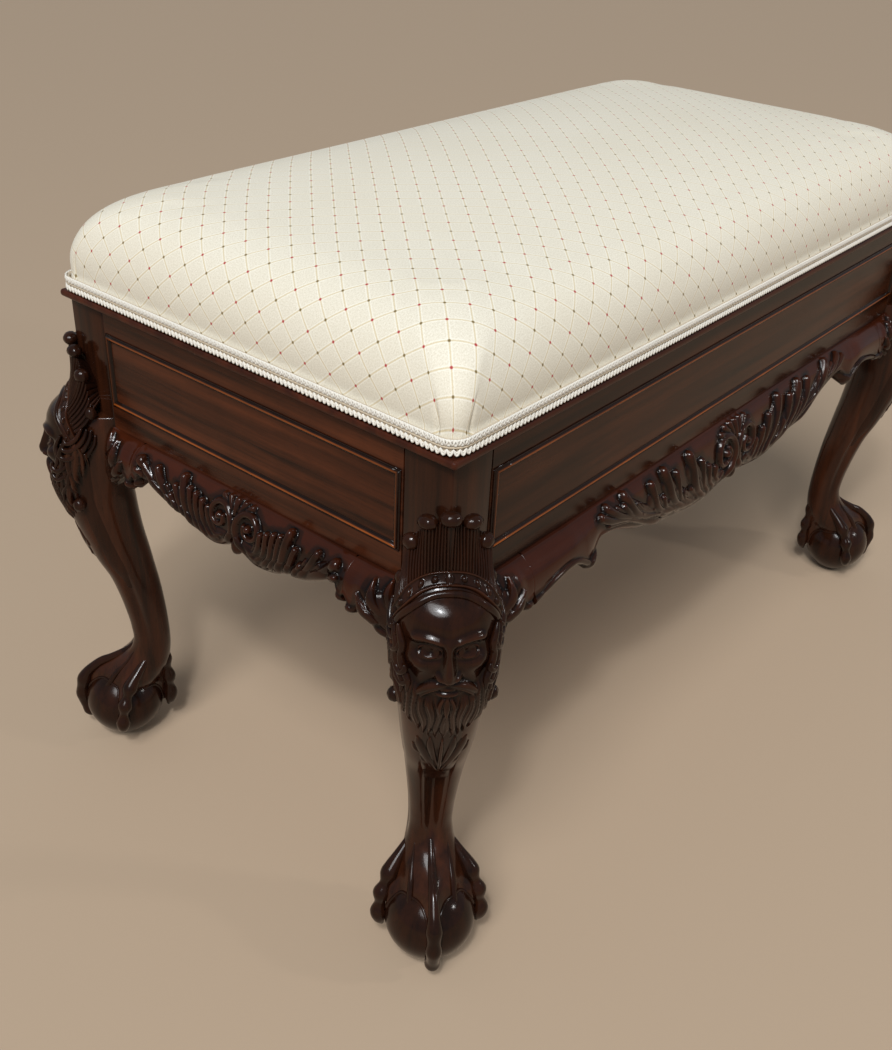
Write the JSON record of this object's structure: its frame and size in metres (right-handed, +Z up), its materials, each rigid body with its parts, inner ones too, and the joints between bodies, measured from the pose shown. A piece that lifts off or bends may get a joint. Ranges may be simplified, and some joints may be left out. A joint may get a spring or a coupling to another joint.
{
  "type": "window seat",
  "caption": "Upholstered window seat with a hinged lift-up lid over a storage well, on carved cabriole legs with ball-and-claw feet.",
  "frame": {"origin": "on the floor, under the middle of the seat", "axes": "+X along the seat's length, +Y to the hinged back, +Z up"},
  "size_m": [0.8744, 0.4844, 0.5659],
  "materials": {
    "polished_mahogany": "dark French polish, glossy",
    "pine": "planed, unpolished",
    "cream_trellis_fabric": "woven cream fabric with a fine diamond trellis",
    "ivory_braid": "plaited upholstery gimp",
    "brass": "satin, slightly dulled"
  },
  "bodies": {
    "frame": {"apron_back": "polished_mahogany", "apron_front": "polished_mahogany", "apron_left": "polished_mahogany", "apron_right": "polished_mahogany", "bead_back_left": "polished_mahogany", "bead_back_lower": "polished_mahogany", "bead_back_right": "polished_mahogany", "bead_back_upper": "polished_mahogany", "bead_front_left": "polished_mahogany", "bead_front_lower": "polished_mahogany", "bead_front_right": "polished_mahogany", "bead_front_upper": "polished_mahogany", "bead_left_left": "polished_mahogany", "bead_left_lower": "polished_mahogany", "bead_left_right": "polished_mahogany", "bead_left_upper": "polished_mahogany", "bead_right_left": "polished_mahogany", "bead_right_lower": "polished_mahogany", "bead_right_right": "polished_mahogany", "bead_right_upper": "polished_mahogany", "bottom_board": "pine", "glue_block_back": "pine", "glue_block_front": "pine", "glue_block_left": "pine", "glue_block_right": "pine", "hinge_left_pin": "brass", "hinge_left_rail_leaf": "brass", "hinge_left_rail_leaf_screw_1": "brass", "hinge_left_rail_leaf_screw_2": "brass", "hinge_right_pin": "brass", "hinge_right_rail_leaf": "brass", "hinge_right_rail_leaf_screw_1": "brass", "hinge_right_rail_leaf_screw_2": "brass", "knee_block_back_left": "polished_mahogany", "knee_block_back_right": "polished_mahogany", "knee_block_front_left": "polished_mahogany", "knee_block_front_right": "polished_mahogany", "knee_block_left_back": "polished_mahogany", "knee_block_left_front": "polished_mahogany", "knee_block_right_back": "polished_mahogany", "knee_block_right_front": "polished_mahogany", "ledger_back": "pine", "ledger_front": "pine", "leg_back_left": "polished_mahogany", "leg_back_right": "polished_mahogany", "leg_front_left": "polished_mahogany", "leg_front_right": "polished_mahogany", "rail_back": "polished_mahogany", "rail_front": "polished_mahogany", "rail_left": "polished_mahogany", "rail_right": "polished_mahogany"},
    "lid": {"gimp_braid": "ivory_braid", "hinge_left_lid_leaf": "brass", "hinge_left_lid_leaf_screw_1": "brass", "hinge_left_lid_leaf_screw_2": "brass", "hinge_right_lid_leaf": "brass", "hinge_right_lid_leaf_screw_1": "brass", "hinge_right_lid_leaf_screw_2": "brass", "lid_board": "polished_mahogany", "seat_pad": "cream_trellis_fabric"}
  },
  "joints": [
    {"name": "lid_hinge", "type": "hinge", "parent": "frame", "child": "lid", "pos_m": [0, 0.206, 0.46365], "axis": [-1, 0, 0], "range_deg": [0, 105]}
  ]
}
